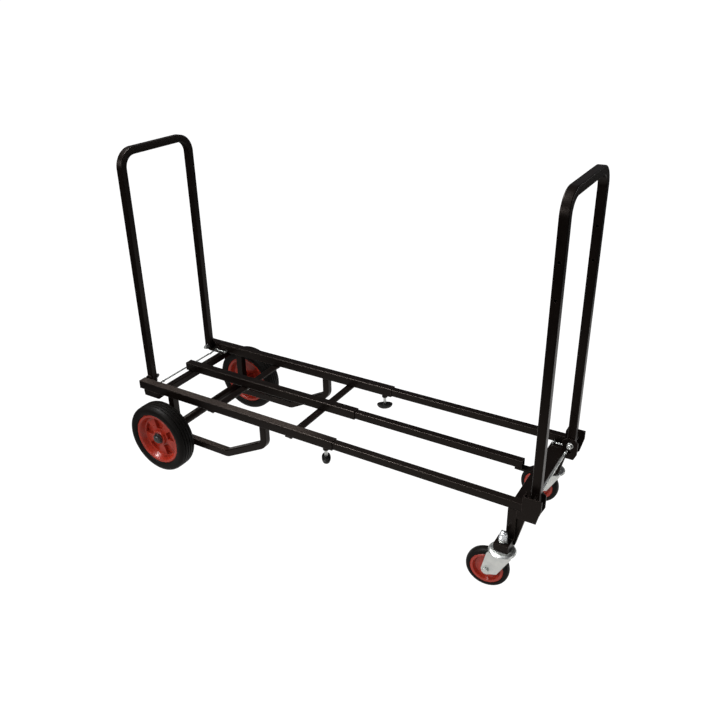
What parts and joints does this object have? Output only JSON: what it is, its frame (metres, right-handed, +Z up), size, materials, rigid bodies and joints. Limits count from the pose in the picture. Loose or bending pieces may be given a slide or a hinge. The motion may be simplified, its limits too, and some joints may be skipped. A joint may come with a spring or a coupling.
{
  "type": "convertible hand truck",
  "caption": "Telescoping convertible hand truck with a three-rail bed, fold-down end handles, fixed rear wheels and swivel front casters.",
  "frame": {"origin": "on the floor, at the middle of the bounding box", "axes": "+X along the bed towards the swivel casters, +Y to the far side, +Z up"},
  "size_m": [1.182, 0.46, 0.908],
  "materials": {
    "black_powder_coat": "satin",
    "black_hardware": "satin",
    "zinc_steel": "satin",
    "bright_nut": "polished",
    "red_plastic": "gloss",
    "black_plastic": "matte",
    "tyre_rubber": "matte"
  },
  "bodies": {
    "rear_frame": {"outer_rail_near": "black_powder_coat", "outer_rail_far": "black_powder_coat", "outer_rail_centre": "black_powder_coat", "glide_bushes": "black_plastic", "rail_end_caps": "black_plastic", "rear_cross_tube": "black_powder_coat", "cross_bars": "black_powder_coat", "frame_nuts": "zinc_steel", "rear_gussets": "black_powder_coat", "wheel_posts": "black_powder_coat", "axle_tube": "black_powder_coat", "axle_shaft": "zinc_steel", "axle_nuts": "black_hardware", "brace_near": "black_powder_coat", "brace_far": "black_powder_coat", "rear_lugs": "black_powder_coat", "rear_pivot_bolts": "zinc_steel", "rear_pivot_nuts": "black_hardware", "rear_spring_pins": "zinc_steel", "knob_bosses": "black_powder_coat"},
    "knob_near": {"knob_head_near": "black_plastic", "knob_stud_near": "zinc_steel"},
    "knob_far": {"knob_head_far": "black_plastic", "knob_stud_far": "zinc_steel"},
    "front_frame": {"inner_rail_near": "black_powder_coat", "inner_rail_far": "black_powder_coat", "inner_rail_centre": "black_powder_coat", "centre_tab": "black_powder_coat", "front_cross_tube": "black_powder_coat", "front_bracket_near": "black_powder_coat", "front_bracket_far": "black_powder_coat", "front_spacers": "zinc_steel", "front_pivot_bolts": "zinc_steel", "front_pivot_nuts": "zinc_steel", "front_spring_pins": "zinc_steel", "clip_bolts": "zinc_steel", "caster_bracket_near": "black_powder_coat", "caster_bracket_far": "black_powder_coat", "caster_braces": "black_powder_coat", "caster_stems": "zinc_steel", "caster_washers": "zinc_steel", "caster_nuts": "bright_nut"},
    "caster_swivel_near": {"caster_fork_near": "zinc_steel", "caster_axle_near": "zinc_steel"},
    "caster_swivel_far": {"caster_fork_far": "zinc_steel", "caster_axle_far": "zinc_steel"},
    "caster_wheel_near": {"caster_core_near": "red_plastic", "caster_tyre_near": "tyre_rubber"},
    "caster_wheel_far": {"caster_core_far": "red_plastic", "caster_tyre_far": "tyre_rubber"},
    "rear_wheel_near": {"rim_near": "red_plastic", "tyre_near": "tyre_rubber"},
    "rear_wheel_far": {"rim_far": "red_plastic", "tyre_far": "tyre_rubber"},
    "rear_handle": {"rear_handle": "black_powder_coat"},
    "front_handle": {"front_handle": "black_powder_coat"},
    "rear_latch": {"rear_latch_rod": "zinc_steel", "rear_latch_springs": "zinc_steel"},
    "front_latch": {"front_latch_rod": "zinc_steel", "front_latch_springs": "zinc_steel"}
  },
  "joints": [
    {"name": "bed_extension", "type": "slide", "parent": "rear_frame", "child": "front_frame", "axis": [1, 0, 0], "range_m": [-0.35, 0]},
    {"name": "rear_handle_fold", "type": "hinge", "parent": "rear_frame", "child": "rear_handle", "pos_m": [-0.575, 0, 0.228], "axis": [0, 1, 0], "range_deg": [0, 88.5]},
    {"name": "front_handle_fold", "type": "hinge", "parent": "front_frame", "child": "front_handle", "pos_m": [0.569, 0, 0.228], "axis": [0, 1, 0], "range_deg": [-88.5, 0]},
    {"name": "rear_latch_pull", "type": "slide", "parent": "rear_frame", "child": "rear_latch", "axis": [-1, 0, 0], "range_m": [0, 0.008], "stiffness_N_per_m": 1500, "springref_m": -0.004, "deforming": ["rear_latch_springs"]},
    {"name": "front_latch_pull", "type": "slide", "parent": "front_frame", "child": "front_latch", "axis": [1, 0, 0], "range_m": [0, 0.008], "stiffness_N_per_m": 1500, "springref_m": -0.004, "deforming": ["front_latch_springs"]},
    {"name": "clamp_knob_near", "type": "hinge", "parent": "rear_frame", "child": "knob_near", "pos_m": [0.042, -0.1526, 0.18], "axis": [0, 0, 1], "range_deg": [-360, 360]},
    {"name": "clamp_knob_far", "type": "hinge", "parent": "rear_frame", "child": "knob_far", "pos_m": [0.042, 0.1526, 0.18], "axis": [0, 0, 1], "range_deg": [-360, 360]},
    {"name": "rear_wheel_near_spin", "type": "hinge", "parent": "rear_frame", "child": "rear_wheel_near", "pos_m": [-0.484, -0.203, 0.1016], "axis": [0, 1, 0], "continuous": true},
    {"name": "rear_wheel_far_spin", "type": "hinge", "parent": "rear_frame", "child": "rear_wheel_far", "pos_m": [-0.484, 0.203, 0.1016], "axis": [0, 1, 0], "continuous": true},
    {"name": "caster_near_swivel", "type": "hinge", "parent": "front_frame", "child": "caster_swivel_near", "pos_m": [0.519, -0.177, 0.107], "axis": [0, 0, 1], "continuous": true},
    {"name": "caster_far_swivel", "type": "hinge", "parent": "front_frame", "child": "caster_swivel_far", "pos_m": [0.519, 0.177, 0.107], "axis": [0, 0, 1], "continuous": true},
    {"name": "caster_near_roll", "type": "hinge", "parent": "caster_swivel_near", "child": "caster_wheel_near", "pos_m": [0.48911, -0.17961, 0.05], "axis": [-0.0872, 0.9962, 0], "continuous": true},
    {"name": "caster_far_roll", "type": "hinge", "parent": "caster_swivel_far", "child": "caster_wheel_far", "pos_m": [0.48907, 0.17909, 0.05], "axis": [0.0698, 0.9976, 0], "continuous": true}
  ]
}
